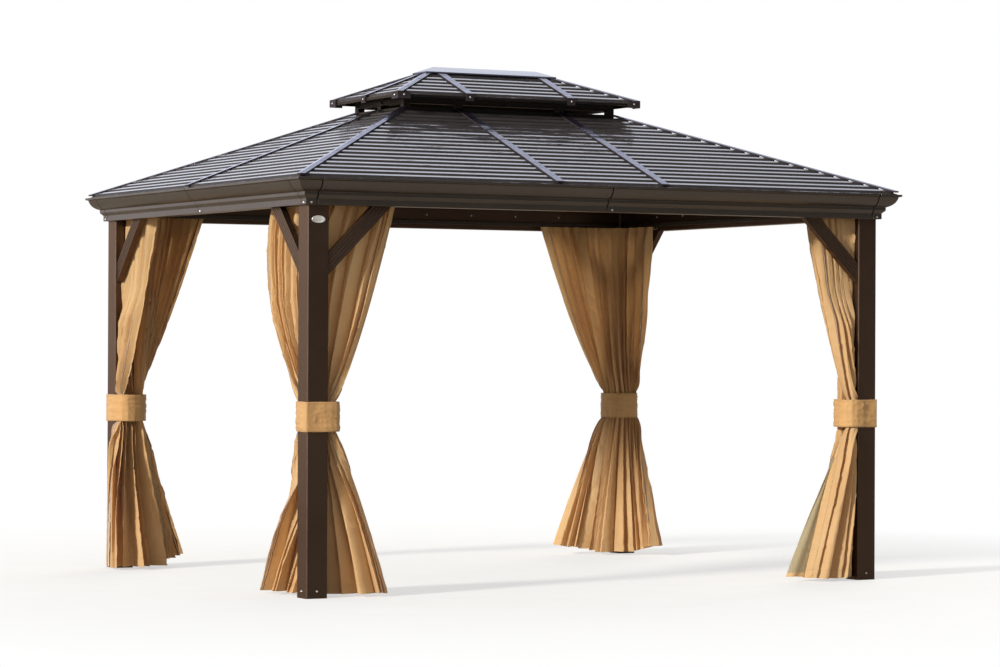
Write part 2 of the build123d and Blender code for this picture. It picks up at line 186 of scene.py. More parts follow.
# Materials
def powder_coat(name, dark, pale, edge_wear_and_highlight, gloss=0.34, metal=0.92, tint=(1.0, 0.80, 0.66)):
    """Baked enamel on aluminium: orange-peel grain, faint streaks, and edges painted paler, partly rubbed
    wear and partly a painted highlight along the arris.
    """
    g = new_material(name)
    place = g.coordinates()
    patches = g.noise(place, scale=1.7, detail=4.0)
    streaks = g.noise(g.stretched(place, (55.0, 55.0, 2.0)), scale=1.0, detail=2.0)
    body = g.ramp(patches, (0.3, dark), (0.75, pale))
    body = g.mix(g.level(streaks, low=0.0, high=0.5), body, dark)
    bevel = g.add("ShaderNodeBevel", samples=4)
    bevel.inputs["Radius"].default_value = edge_radius
    facing = g.add("ShaderNodeVectorMath", operation="DOT_PRODUCT")
    g.link(bevel.outputs["Normal"], facing.inputs[0])
    g.link(g.add("ShaderNodeNewGeometry").outputs["True Normal"], facing.inputs[1])
    # Edges turn paler in patches: partly rubbed wear, partly a painted highlight along the arris
    edge = g.level(facing.outputs["Value"], low=1.0, high=0.0, start=0.90, end=0.995)
    wear = g.level(g.noise(place, scale=60.0, detail=4.0), low=0.05, high=0.5, start=0.35, end=0.7)
    colour = g.mix(g.math("MULTIPLY", edge, wear), body, edge_wear_and_highlight)
    haze = g.noise(place, scale=24.0, detail=5.0)
    peel = g.noise(place, scale=900.0, detail=2.0)
    shader = g.shader(
        Base_Color=colour,
        Metallic=metal,
        Roughness=g.level(haze, low=gloss - 0.05, high=gloss + 0.08),
        Specular_IOR_Level=0.3,
        Specular_Tint=(*tint, 1.0),
        Normal=g.bump(peel, distance=0.0003, strength=0.25, normal=bevel.outputs["Normal"]),
    )
    return g.finish(shader.outputs["BSDF"])


def roof_coat(name, dark, pale, gloss, index, side_gloss, tint, dust_share):
    """Coil-coated steel: a dark body under a hard clear coat, matte on steep sides, dusty and dented."""
    g = new_material(name)
    place = g.coordinates()
    patches = g.noise(place, scale=2.3, detail=4.0)
    dust = g.noise(place, scale=38.0, detail=6.0, roughness=0.65)
    body = g.ramp(patches, (0.3, dark), (0.8, pale))
    colour = g.mix(g.level(dust, low=0.0, high=dust_share, start=0.45, end=0.8), body, DUST)
    dents = g.noise(g.stretched(place, (2.4, 2.4, 30.0)), scale=1.0, detail=4.0)
    peel = g.noise(place, scale=700.0, detail=2.0)
    dented = g.bump(dents, distance=0.016, strength=0.6)
    normal = g.bump(peel, distance=0.0001, strength=0.15, normal=dented)
    rise = g.add("ShaderNodeSeparateXYZ")
    g.link(g.add("ShaderNodeNewGeometry").outputs["True Normal"], rise.inputs[0])
    flat_share = g.level(g.math("ABSOLUTE", rise.outputs[2]), low=0.0, high=1.0, start=0.55, end=0.80)
    shader = g.shader(
        Base_Color=colour,
        Specular_IOR_Level=0.2,
        Specular_Tint=(*tint, 1.0),
        Roughness=g.level(flat_share, low=0.62, high=gloss + 0.10),
        Coat_Weight=g.level(flat_share, low=side_gloss, high=1.0),
        Coat_IOR=index,
        Coat_Roughness=gloss,
        Coat_Tint=(*tint, 1.0),
        Normal=normal,
        Coat_Normal=normal,
    )
    return g.finish(shader.outputs["BSDF"])


def woven_cloth(name, shade, middle, lit, through, stitches=(), tapes=()):
    """Plain-woven polyester, with UV in metres over the flat cloth.

    Stitches are rows as (axis, place), and tapes are places along u.
    """
    g = new_material(name)
    flat = g.coordinates("UV")
    parts = g.add("ShaderNodeSeparateXYZ")
    g.link(flat, parts.inputs[0])
    across, down = parts.outputs[0], parts.outputs[1]
    tone = g.noise(g.stretched(flat, (9.0, 1.6, 1.0)), scale=1.0, detail=4.0)
    slub = g.noise(g.stretched(flat, (30.0, 900.0, 1.0)), scale=1.0, detail=2.0)
    colour = g.ramp(tone, (0.25, shade), (0.5, middle), (0.8, lit))
    colour = g.mix(g.level(slub, low=0.0, high=0.35, start=0.35, end=0.75), colour, lit)
    warp = g.math("SINE", g.math("MULTIPLY", across, 2 * math.pi / thread_pitch))
    weft = g.math("SINE", g.math("MULTIPLY", down, 2 * math.pi / thread_pitch))
    weave = g.math("MULTIPLY", warp, weft)
    crush = g.noise(g.stretched(flat, (26.0, 14.0, 1.0)), scale=1.0, detail=5.0, roughness=0.6)
    height = g.math("ADD", g.math("MULTIPLY", weave, 0.12), g.math("MULTIPLY", crush, 6.0))
    row_mask = None
    for axis, position in stitches:
        along, over = (down, across) if axis == "u" else (across, down)
        off = g.math("ABSOLUTE", g.math("SUBTRACT", over, position))
        near = g.math("LESS_THAN", off, stitch_width / 2)
        beat = g.math("FRACT", g.math("MULTIPLY", along, 1 / stitch_pitch))
        dash = g.math("LESS_THAN", beat, stitch_share)
        stitch = g.math("MULTIPLY", near, dash)
        row_mask = stitch if row_mask is None else g.math("MAXIMUM", row_mask, stitch)
    for position in tapes:
        off = g.math("ABSOLUTE", g.math("SUBTRACT", across, position))
        colour = g.mix(g.math("LESS_THAN", off, tape_width / 2), colour, TAPE_BROWN)
        colour = g.mix(g.math("LESS_THAN", off, tape_width / 5), colour, TAPE_PALE)
    if row_mask is not None:
        colour = g.mix(g.math("MULTIPLY", row_mask, 0.8), colour, shade)
        height = g.math("SUBTRACT", height, row_mask)
    shader = g.shader(
        Base_Color=colour,
        Roughness=g.level(crush, low=0.5, high=0.68),
        Specular_IOR_Level=0.3,
        Sheen_Weight=0.25,
        Sheen_Roughness=0.4,
        Normal=g.bump(height, distance=0.0016, strength=0.8),
    )
    if through == 0:
        return g.finish(shader.outputs["BSDF"])
    glow = g.add("ShaderNodeBsdfTranslucent")
    g.link(g.mix(0.30, colour, LIGHT_THROUGH), glow.inputs["Color"])
    both = g.add("ShaderNodeMixShader")
    both.inputs["Fac"].default_value = through
    g.link(shader.outputs["BSDF"], both.inputs[1])
    g.link(glow.outputs["BSDF"], both.inputs[2])
    return g.finish(both.outputs["Shader"])


def bare_metal(name, colour, gloss, metal=0.9):
    """Zinc-plated steel or a bare cast plate with fine scratches."""
    g = new_material(name)
    place = g.coordinates()
    scratch = g.noise(g.stretched(place, (900.0, 60.0, 60.0)), scale=1.0, detail=3.0)
    blot = g.noise(place, scale=45.0, detail=4.0)
    paler = tuple(min(1.0, part * 1.25) for part in colour)
    shader = g.shader(
        Base_Color=g.ramp(blot, (0.3, colour), (0.75, paler)),
        Metallic=metal,
        Roughness=g.level(scratch, low=gloss - 0.08, high=gloss + 0.12),
        Normal=g.bump(scratch, distance=0.0001, strength=0.4),
    )
    return g.finish(shader.outputs["BSDF"])


# Finishes of the frame and the roofs
frame_coat = powder_coat(
    "frame_coat", dark=(0.100, 0.064, 0.047), pale=(0.130, 0.087, 0.064), edge_wear_and_highlight=(0.26, 0.19, 0.145))
cornice_coat = powder_coat(
    "cornice_coat", dark=(0.118, 0.100, 0.088), pale=(0.150, 0.130, 0.116), edge_wear_and_highlight=(0.28, 0.24, 0.21),
    tint=(1.0, 0.92, 0.85))
vent_coat = powder_coat(
    "vent_coat", dark=(0.030, 0.027, 0.025), pale=(0.044, 0.040, 0.037), edge_wear_and_highlight=(0.20, 0.18, 0.17), gloss=0.42)
foot_coat = powder_coat(
    "foot_coat", dark=(0.050, 0.040, 0.034), pale=(0.075, 0.060, 0.052), edge_wear_and_highlight=(0.30, 0.27, 0.25), gloss=0.5)
rail_coat = powder_coat(
    "rail_coat", dark=(0.060, 0.050, 0.044), pale=(0.085, 0.072, 0.064), edge_wear_and_highlight=(0.26, 0.24, 0.22), gloss=0.45)
sheet_coat = roof_coat(
    "sheet_coat", dark=(0.030, 0.025, 0.0245), pale=(0.046, 0.039, 0.0385),
    gloss=0.12, index=2.8, side_gloss=0.0, tint=(0.90, 0.92, 1.0), dust_share=0.08)
# The strips' bluish coat tint is a painted reflection of blue sky over their dark brown body
strip_coat_painted_sky = roof_coat(
    "strip_coat_painted_sky", dark=(0.026, 0.019, 0.018), pale=(0.040, 0.030, 0.028),
    gloss=0.16, index=1.7, side_gloss=0.05, tint=(0.50, 0.56, 0.92), dust_share=0.04)
# The ridge's bluish body and bluish coat tint are a painted reflection of blue sky
ridge_coat_painted_sky = roof_coat(
    "ridge_coat_painted_sky", dark=(0.048, 0.050, 0.075), pale=(0.066, 0.070, 0.105),
    gloss=0.10, index=8.0, side_gloss=0.05, tint=(0.70, 0.75, 1.0), dust_share=0.04)

# Cloth colours: the curtain's are painted paler than the tie's, which is the same cloth, standing in for
# light that passes through it and bounces between its folds
CLOTH_SHADE_WITH_PAINTED_LIGHT = (0.56, 0.340, 0.148)
CLOTH_MIDDLE_WITH_PAINTED_LIGHT = (0.70, 0.460, 0.225)
CLOTH_LIT_WITH_PAINTED_LIGHT = (0.82, 0.58, 0.325)
TIE_SHADE = (0.46, 0.250, 0.095)
TIE_MIDDLE = (0.54, 0.305, 0.122)
TIE_LIT = (0.62, 0.38, 0.170)

# Nodes that take each finish
STRIP_NODES = ("hip_caps", "seam_strips", "upper_hip_caps", "upper_seam_strips")
VENT_NODES = ("vent_curb", "vent_uprights", "upper_ring", "upper_rafters", "upper_eave_trim")
for name, node in nodes.items():
    if name.startswith(("curtain_front", "curtain_back", "tieback")):
        continue
    if name in STRIP_NODES:
        coat = strip_coat_painted_sky
    elif name == "ridge_cap":
        coat = ridge_coat_painted_sky
    elif "sheets" in name:
        coat = sheet_coat
    elif name in VENT_NODES:
        coat = vent_coat
    elif name.startswith("fascia"):
        coat = cornice_coat
    elif name == "post_feet":
        coat = foot_coat
    elif name == "curtain_rails":
        coat = rail_coat
    else:
        coat = frame_coat
    node.data.materials.clear()
    node.data.materials.append(coat)


# Mesh helpers
def new_piece(name, points, faces, material, uv=None, smooth=True):
    """A mesh object in the scene, with one UV pair for each point."""
    mesh = bpy.data.meshes.new(name)
    mesh.from_pydata([tuple(point) for point in points], [], [tuple(face) for face in faces])
    if uv is not None:
        layer = mesh.uv_layers.new(name="UVMap")
        for loop in mesh.loops:
            layer.data[loop.index].uv = uv[loop.vertex_index]
    mesh.polygons.foreach_set("use_smooth", [smooth] * len(mesh.polygons))
    mesh.update()
    piece = bpy.data.objects.new(name, mesh)
    bpy.context.scene.collection.objects.link(piece)
    piece.data.materials.append(material)
    return piece


def grid_faces(columns, rows, closed=False):
    """Four-sided faces over rows of points, joined round where each row is a loop."""
    faces = []
    for row in range(rows - 1):
        for column in range(columns if closed else columns - 1):
            after = (column + 1) % columns
            faces.append((row * columns + column, row * columns + after,
                          (row + 1) * columns + after, (row + 1) * columns + column))
    return faces


def thicken(piece, gauge):
    """Gives a sheet its gauge, half to each side."""
    solid = piece.modifiers.new("gauge", "SOLIDIFY")
    solid.thickness = gauge
    solid.offset = 0.0


# Curtains: one sheet per corner, hung on two rails and tied to the post
# Plan points are (along, across): along a rail from the post's inner face, and inward from that face
cloth_width = 2.50
cloth_length = 1.97
pleat_count = 14
columns_per_pleat = 26
curtain_columns = pleat_count * columns_per_pleat + 1
curtain_rows = 176
spacing_blend = 31
spline_steps = 24
tangent_step = 0.004
ring_line = -0.050
fold_line = -0.020
rail_gap = 0.002
hem_lift = 0.016
floor_gap = 0.010
frame_gap = 0.004
turn_radius = 0.006
tie_middle = (tie_low + tie_high) / 2
tie_height = tie_high - tie_low
# Pleats tighten over this height round the tie, and loosen over this drop below it
pinch_reach = 0.16
loose_drop = 0.5
# Pleats fade to this share of their depth over this share of the cloth at its free edges
edge_fade = 0.15
edge_share = 0.02
# Finer relief: long ripples, small creases, sharp creases and the waves of the hem
ripple_depth = 0.006
crease_depth = 0.0018
sharp_depth = 0.006
sharp_width = 0.13
hem_swing = 0.014

# Each leg's reach along X and along Y, at the rail and at the hem
REACHES = {
    "front_left": ((0.42, 0.35), (0.53, 0.39)),
    "front_right": ((0.27, 0.33), (0.34, 0.36)),
    "back_left": ((0.43, 0.34), (0.40, 0.36)),
    "back_right": ((0.54, 0.41), (0.36, 0.33)),
}
# How far the free edge of a leg along Y billows out between the rail and the tie
BILLOWS = {"front_left": 0.15}
# Legs along X and along Y that lie close against the face of their post
HUGGING = {"front_right": (True, False), "back_left": (False, True)}
# Pleats grow by this share from the leg along X to the leg along Y
PLEAT_GROWTH = {"front_left": 0.40, "back_left": 0.40}
# Which way the sharp folds point: into the room, or away from it where -1
FACINGS = {"back_right": -1}
# How high the hem hangs at the end along X, at the corner and at the end along Y
HEM_LIFTS = {"back_left": (0.065, 0.016, 0.016), "back_right": (0.060, 0.020, 0.060)}
# The hem of one leg swings out past its post
SWUNG_HEMS = {"back_left": [(0.03, -0.235), (0.17, -0.205), (0.19, -0.04), (0.10, 0.12)]}
# Half the depth of the pleats at heights from the hem to the rail
FOLD_DEPTHS = (
    (curtain_low, 0.060), (0.35, 0.055), (0.65, 0.044), (tie_low, 0.024), (tie_high, 0.024),
    (1.12, 0.032), (1.5, 0.043), (1.9, 0.043), (curtain_top, 0.034),
)
# The room for folds outside the rails ends above this height, over this rise, where the braces begin
brace_height = 1.15
brace_rise = 0.47
loose_room = 0.06
# Cloth passes inside the band and fans out from it by this slope, as far as this above and below
BAND_CENTRE = np.array([-0.020, -0.020])
band_slack = 0.005
fan_slope = 0.75
fan_reach = 0.35


def spline(control):
    """A function that gives the points at shares of the length of a clamped cubic B-spline."""
    control = np.asarray(control, dtype=float)
    first = 2 * control[0] - control[1]
    last = 2 * control[-1] - control[-2]
    padded = np.vstack([first, control, last])
    fine = []
    for start in range(len(padded) - 3):
        a, b, c, d = padded[start:start + 4]
        for step in np.linspace(0, 1, spline_steps, endpoint=False):
            w0 = (1 - step) ** 3 / 6
            w1 = (3 * step ** 3 - 6 * step ** 2 + 4) / 6
            w2 = (-3 * step ** 3 + 3 * step ** 2 + 3 * step + 1) / 6
            w3 = step ** 3 / 6
            fine.append(a * w0 + b * w1 + c * w2 + d * w3)
    fine.append(control[-1])
    fine = np.array(fine)
    run = np.concatenate([[0], np.cumsum(np.linalg.norm(np.diff(fine, axis=0), axis=1))])
    return lambda share: np.stack(
        [np.interp(share * run[-1], run, fine[:, axis]) for axis in (0, 1)], axis=1)


# Each leg at the tie, from its free edge to the corner
WAIST = np.array([(0.026, -0.104), (0.046, -0.062), (0.044, -0.012), (0.030, 0.030)])
CLOSE_WAIST = np.array([(0.058, -0.090), (0.044, -0.106), (0.014, -0.104), (0.030, 0.030)])
# How each of those points moves out towards the rail and towards the hem, as powers of the share of the way
RISE_POWERS = np.array([[0.74, 0.9], [0.8, 0.9], [0.9, 0.9], [1.0, 1.0]])
FALL_POWERS = np.array([[0.8, 1.0], [0.8, 1.0], [0.85, 1.0], [0.9, 0.9]])
SWUNG_POWERS = np.array([[0.8, 0.4], [0.8, 0.4], [0.85, 0.8], [0.9, 0.9]])
LATE_POWERS = np.array([[1.3, 1.0], [1.25, 1.0], [1.1, 1.0], [0.9, 0.9]])
FALLS_ALONG_Y = {"back_left": SWUNG_POWERS, "front_left": LATE_POWERS}
# How much of a billow each of those points takes
BILLOW_SHARES = np.array([(1.0, 0), (0.7, 0), (0.3, 0), (0, 0)])


def leg_section(height, reach_top, hem, hugging=False, billow=0.0, fall=FALL_POWERS):
    """Plan points of one leg at a height."""
    inner = (0.014, -0.085) if hugging else (0.26 * reach_top, fold_line)
    top = np.array([(reach_top, fold_line), (0.64 * reach_top, fold_line), inner, (0.03, 0.03)])
    waist = CLOSE_WAIST if hugging else WAIST
    if height > tie_high:
        share = (height - tie_high) / (curtain_top - tie_high)
        swell = billow * math.sin(math.pi * share ** 1.3) * BILLOW_SHARES
        return waist + (top - waist) * share ** RISE_POWERS + swell
    if height < tie_low:
        share = (tie_low - height) / (tie_low - hem_lift)
        return waist + (hem - waist) * share ** fall
    return waist


def plain_hem(reach, hugging=False):
    """Plan points of one leg at the hem."""
    if hugging:
        return np.array([(reach, -0.085), (0.55 * reach, -0.108), (0.030, -0.112), (0.07, 0.08)])
    return np.array([(reach, -0.085), (0.62 * reach, -0.092), (0.34 * reach, -0.010), (0.13, 0.13)])


def plan_line(corner, height):
    """The plan curve of a curtain at a height, from its edge along X round to its edge along Y."""
    (top_a, hem_a), (top_b, hem_b) = REACHES[corner]
    close_a, close_b = HUGGING.get(corner, (False, False))
    hem_points = np.array(SWUNG_HEMS.get(corner, plain_hem(hem_b, close_b)))
    fall_b = FALLS_ALONG_Y.get(corner, FALL_POWERS)
    leg_a = leg_section(height, top_a, plain_hem(hem_a, close_a), close_a)
    leg_b = leg_section(height, top_b, hem_points, close_b, BILLOWS.get(corner, 0.0), fall_b)[::-1, ::-1]
    middle = (leg_a[-1] + leg_b[0]) / 2
    return spline(np.vstack([leg_a[:-1], [middle], leg_b[1:]]))


def wander(x, y, seed):
    """Smooth noise on a plane of its own for each seed."""
    return noise.noise(Vector((x, y, 7.3 * seed)))


def wander_row(shares, height, across, upward, seed):
    """Noise for a row of the cloth, with its scales across and upward."""
    return np.array([wander(across * share, upward * height, seed) for share in shares])


def lay_pleats(corner, share, seed):
    """For each column its place on the plan line, its turn, and its pleat's depth, squareness and lean."""
    # The cloth in each pleat, and the length of the plan line that it takes
    draw = random.Random(seed)
    cloth = np.array([draw.uniform(0.45, 1.75) for _ in range(pleat_count)])
    cloth[[0, -1]] = cloth.mean()
    growth = PLEAT_GROWTH.get(corner, 0.0)
    cloth *= np.linspace(1 - growth, 1 + growth, pleat_count)
    spread = cloth * np.array([draw.uniform(0.65, 1.4) for _ in range(pleat_count)])
    edges = np.concatenate([[0], np.cumsum(cloth)]) / cloth.sum()
    places = np.concatenate([[0], np.cumsum(spread)]) / spread.sum()
    turns = np.interp(share, edges, np.arange(pleat_count + 1))
    along = np.interp(share, edges, places)
    padded = np.pad(along, spacing_blend // 2, mode="reflect", reflect_type="odd")
    along = np.clip(np.convolve(padded, np.ones(spacing_blend) / spacing_blend, mode="valid"), 0, 1)
    centres = (edges[:-1] + edges[1:]) / 2
    big = np.interp(share, centres, 0.55 + 0.45 * cloth / cloth.mean())
    boxed = np.interp(share, centres, [draw.uniform(0.6, 2.8) for _ in range(pleat_count)])
    tilt = np.interp(share, centres, [draw.uniform(0.1, 0.9) for _ in range(pleat_count)])
    return along, turns, big, boxed, tilt


def hang_curtain(corner, seed):
    """One gathered sheet: uneven pleats on a plan line that narrows at the tie and flares to the hem."""
    sx, sy = CORNERS[corner]
    share = np.linspace(0, 1, curtain_columns)
    along, turns, big, boxed, tilt = lay_pleats(corner, share, seed)
    fade = np.clip(np.minimum(share, 1 - share) / edge_share, edge_fade, 1)
    side = np.where(share < 0.5, -1, 1) * np.clip(np.abs(share - 0.5) * 8, 0, 1)
    lift_a, lift_middle, lift_b = HEM_LIFTS.get(corner, (hem_lift,) * 3)
    lifts = np.interp(share, (0, 0.4, 0.6, 1), (lift_a, lift_middle, lift_middle, lift_b)) - hem_lift
    hem_waves = hem_swing * wander_row(share, 4.0, across=5.0, upward=1.0, seed=seed)
    top = curtain_top - rail_gap
    points = []
    uv = []
    for row in range(curtain_rows):
        down = row / (curtain_rows - 1)
        height = top - down * (top - hem_lift)
        path = plan_line(corner, height)
        spot = path(along)
        half_pleat = np.linalg.norm(np.diff(spot, axis=0), axis=1).sum() / pleat_count / 2
        tangent = path(np.clip(along + tangent_step, 0, 1)) - path(np.clip(along - tangent_step, 0, 1))
        tangent /= np.linalg.norm(tangent, axis=1)[:, None]
        normal = np.stack([tangent[:, 1], -tangent[:, 0]], axis=1)
        # Noise that bends the pleats, swells them and creases the cloth
        drift = wander_row(share, height, across=3.3, upward=0.5, seed=seed)
        puff = wander_row(share + 2, height, across=7.0, upward=1.2, seed=seed)
        ripple = wander_row(share, height, across=26.0, upward=1.3, seed=seed + 1)
        crease = wander_row(share, height, across=40.0, upward=11.0, seed=seed + 3)
        sharp = np.abs(wander_row(share + 0.16 * height, height, across=15.0, upward=7.0, seed=seed + 7))
        # Pleats in and out of the plan line, tight at the tie and loose at the hem
        angle = 2 * np.pi * turns + 2.2 * drift
        pinch = math.exp(-abs(height - tie_middle) / pinch_reach)
        loose = np.clip((tie_low - height) / loose_drop, 0, 1)
        soft_wave = np.tanh(boxed * np.cos(angle)) / np.tanh(boxed)
        creased = 1 - 2 * np.abs(np.sin(angle / 2)) ** 0.6
        wave = FACINGS.get(corner, 1) * (0.35 * soft_wave + 0.65 * creased)
        depth = float(np.interp(height, *zip(*FOLD_DEPTHS))) * big * fade * (1 + 0.5 * puff)
        swing = wave + 0.40 * loose * np.sin(angle / 2 + seed) + 0.20 * pinch * np.sin(3 * angle + 2 * drift)
        lean = (1 - 0.6 * pinch) * tilt * side
        wrinkle = ripple_depth * ripple * fade + crease_depth * crease
        wrinkle = wrinkle - sharp_depth * np.clip(sharp_width - sharp, 0, 1) / sharp_width
        spot = spot + normal * (depth * swing + (1 - 0.5 * pinch) * wrinkle)[:, None]
        meander = -0.20 * (1 - pinch) * half_pleat * np.sin(2 * angle)
        spot = spot + tangent * (depth * lean * wave + meander * fade)[:, None]
        levels = np.maximum(floor_gap, height + (hem_waves * down ** 6 + lifts * down ** 2))
        spot = clear_of_frame(inside_band(spot, height), height)
        for column in range(curtain_columns):
            p, q = spot[column]
            points.append((sx * (inner_x - p), sy * (inner_y - q), levels[column]))
            uv.append((share[column] * cloth_width, down * cloth_length))
    faces = grid_faces(curtain_columns, curtain_rows)
    return new_piece(f"drape_{corner}", points, faces, curtain_cloth, uv)


def clear_of_frame(spot, height):
    """Keeps plan points off the post, the braces and the beams."""
    p, q = spot[:, 0].copy(), spot[:, 1].copy()
    # Points in the post's own square move to the nearer of its two inner faces
    low = -post_width - frame_gap
    inside = (p < frame_gap) & (q < frame_gap) & (p > low) & (q > low)
    p, q = np.where(inside & (p >= q), frame_gap, p), np.where(inside & (p < q), frame_gap, q)
    # Braces and beams stand outside the rails
    braced = np.clip((height - brace_height) / brace_rise, 0, 1)
    braced = braced * braced * (3 - 2 * braced)
    room = post_width + loose_room
    limit = -room + braced * (room - (beam_inner - inner_y) + frame_gap)
    q = np.where(p > frame_gap, soft_floor(q, limit), q)
    p = np.where(q > frame_gap, soft_floor(p, limit), p)
    return np.stack([p, q], axis=1)


def soft_floor(values, limit):
    """Values that stay above a limit, with a rounded turn instead of a crease."""
    return limit + turn_radius * np.logaddexp(0, (values - limit) / turn_radius)


def inside_band(spot, height):
    """Draws plan points in so that they pass inside the band, and fan out above and below it."""
    away = max(0.0, abs(height - tie_middle) - tie_height / 2)
    if away > fan_reach:
        return spot
    outline = np.array(band_outline()[:-1]) - BAND_CENTRE
    bearing = np.arctan2(outline[:, 1], outline[:, 0])
    order = np.argsort(bearing)
    radius = np.linalg.norm(outline, axis=1)[order]
    arm = spot - BAND_CENTRE
    length = np.maximum(np.linalg.norm(arm, axis=1), 1e-6)
    allowed = np.interp(np.arctan2(arm[:, 1], arm[:, 0]), bearing[order], radius, period=2 * np.pi)
    allowed = allowed - band_slack + fan_slope * away
    drawn = allowed - turn_radius * np.logaddexp(0, (allowed - length) / turn_radius)
    return BAND_CENTRE + arm * (np.maximum(drawn, 0.01) / length)[:, None]


# Cloths, with the places of their hems, seams and tapes
side_hem = 0.028
top_hem = 0.030
low_hem = 0.045
tie_hem = 0.007
TIE_SEAM = (0.080, 0.086)
TAPES = (0.085, 0.115)
# The curtain takes the paler colours, with painted light for the light through and between its folds
curtain_cloth = woven_cloth(
    "curtain_cloth", CLOTH_SHADE_WITH_PAINTED_LIGHT, CLOTH_MIDDLE_WITH_PAINTED_LIGHT, CLOTH_LIT_WITH_PAINTED_LIGHT, through=0.32,
    stitches=(("u", side_hem), ("u", cloth_width - side_hem), ("v", cloth_length - low_hem), ("v", top_hem)),
    tapes=(*TAPES, *(cloth_width - place for place in TAPES)),
)
tie_cloth = woven_cloth(
    "tie_cloth", TIE_SHADE, TIE_MIDDLE, TIE_LIT, through=0.0,
    stitches=(("v", tie_hem), ("v", tie_height - tie_hem), *(("u", place) for place in TIE_SEAM)),
)


# Tie-backs: a flat band round the post and the gathered cloth
tie_rows = 22
tie_columns = 200
tie_gauge = 0.003
band_gap = 0.0035
corner_reach = 0.03
flat_reach = 0.05
# Relief of the band: soft pulls, ridges, rolled edges, and waves along the edges
pull_rise = 0.0025
ridge_rise = 0.0035
ridge_width = 0.25
roll_rise = 0.001
roll_share = 0.05
edge_wave = 0.0025


def band_outline():
    """Plan points of the band from the post's outer corner, round the cloth and back."""
    near = post_width + band_gap
    return [
        (-near, -near), (-near + 0.02, -near), (-0.085, -near), (-0.055, -near - 0.001),
        (-0.022, -near - 0.008), (0.012, -0.1275), (0.046, -0.1225), (0.070, -0.098),
        (0.080, -0.060), (0.077, -0.015), (0.064, 0.022), (0.044, 0.050),
        (0.010, 0.070), (-0.030, 0.080), (-0.068, 0.078), (-0.094, 0.060),
        (-0.110, 0.025), (-near + 0.001, -0.010), (-near, -0.040), (-near, -0.080),
        (-near, -near + 0.02), (-near, -near),
    ]


def wrap_band(corner, seed):
    """A band with soft pulls and ridges that lies flat on the post, and the length of its loop."""
    sx, sy = CORNERS[corner]
    outline = np.array(band_outline())
    run = np.concatenate([[0], np.cumsum(np.linalg.norm(np.diff(outline, axis=0), axis=1))])
    length = run[-1]
    ring = np.arange(tie_columns) / tie_columns * length
    fine = np.stack([np.interp(ring, run, outline[:, axis]) for axis in (0, 1)], axis=1)
    soft = fine.copy()
    for _ in range(3):
        soft = (np.roll(soft, 1, axis=0) + 2 * soft + np.roll(soft, -1, axis=0)) / 4
    # The band stays sharp over the post's outer corners
    sharp = np.exp(-(np.minimum(ring, length - ring) / corner_reach) ** 2)[:, None]
    fine = fine * sharp + soft * (1 - sharp)
    outward = np.stack([np.roll(fine[:, 1], 1) - np.roll(fine[:, 1], -1),
                        np.roll(fine[:, 0], -1) - np.roll(fine[:, 0], 1)], axis=1)
    outward /= np.linalg.norm(outward, axis=1)[:, None]
    middle = fine.mean(axis=0)
    if np.sum(outward * (fine - middle)) < 0:
        outward = -outward
    points = []
    uv = []
    for row in range(tie_rows):
        up = row / (tie_rows - 1)
        height = tie_low + up * tie_height
        edge = math.exp(-min(up, 1 - up) / roll_share)
        for column in range(tie_columns):
            run_here = ring[column]
            pull = wander(9.0 * run_here + 26.0 * (up - 0.5) * run_here, 3.0 * up, seed)
            ridge = abs(wander(6.0 * run_here + 3.5 * up, 5.0 * up - 4.0 * run_here, seed + 5))
            free = min(1.0, min(run_here, length - run_here) / flat_reach)
            crest = ridge_rise * max(0.0, ridge_width - ridge) / ridge_width * (1 - edge)
            rise = free * (pull_rise * pull + crest) + roll_rise * edge
            p, q = fine[column] + outward[column] * rise
            wave = edge_wave * wander(8.0 * run_here, 20.0 + up, seed)
            points.append((sx * (inner_x - p), sy * (inner_y - q), height + wave))
            uv.append((run_here, up * tie_height))
    piece = new_piece(f"band_{corner}", points, grid_faces(tie_columns, tie_rows, True), tie_cloth, uv)
    thicken(piece, tie_gauge)
    return piece, length


for seed, corner in enumerate(CORNERS):
    drape = hang_curtain(corner, seed + 11)
    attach(drape, "root")
    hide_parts(f"curtain_{corner}")
    band, band_length = wrap_band(corner, seed + 31)
    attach(band, "root")
    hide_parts(f"tieback_{corner}")


# Net: a narrow strip past the free edge of one curtain, with a hem of the curtain's cloth
net_width = 0.115
net_top = 0.67
net_lift = 0.012
net_low = hem_lift + net_lift
net_gap = 0.004
net_billow = 0.012
net_hem = 0.055
net_cut = 0.30
net_rows = 60
net_columns = 9


def net_strip(corner, drape):
    """A strip that hangs from the curtain's free edge and widens to the floor."""
    sx, sy = CORNERS[corner]
    edge = np.array([drape.data.vertices[row * curtain_columns].co for row in range(curtain_rows)])[::-1]
    points = []
    uv = []
    for row in range(net_rows):
        height = net_top + (net_low - net_top) * row / (net_rows - 1)
        x, y = (np.interp(height, edge[:, 2], edge[:, axis]) for axis in (0, 1))
        width = net_width * (net_top - height) / net_top
        for column in range(net_columns):
            out = column / (net_columns - 1)
            billow = net_billow * math.sin(7 * out + 5 * height) * out
            points.append((x - sx * out * width, y - sy * (net_gap + billow), height))
            uv.append((net_cut + out * width, net_top - height))
    piece = new_piece(f"net_{corner}", points, grid_faces(net_columns, net_rows), net_cloth, uv)
    piece.data.materials.append(curtain_cloth)
    for face in piece.data.polygons:
        face.material_index = int(face.center.z < net_hem)
    return piece


net_cloth = woven_cloth(
    "net_cloth", shade=(0.30, 0.27, 0.17), middle=(0.40, 0.37, 0.25), lit=(0.50, 0.47, 0.34), through=0.45)
net = net_strip("front_right", bpy.data.objects["drape_front_right"])
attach(net, "root")


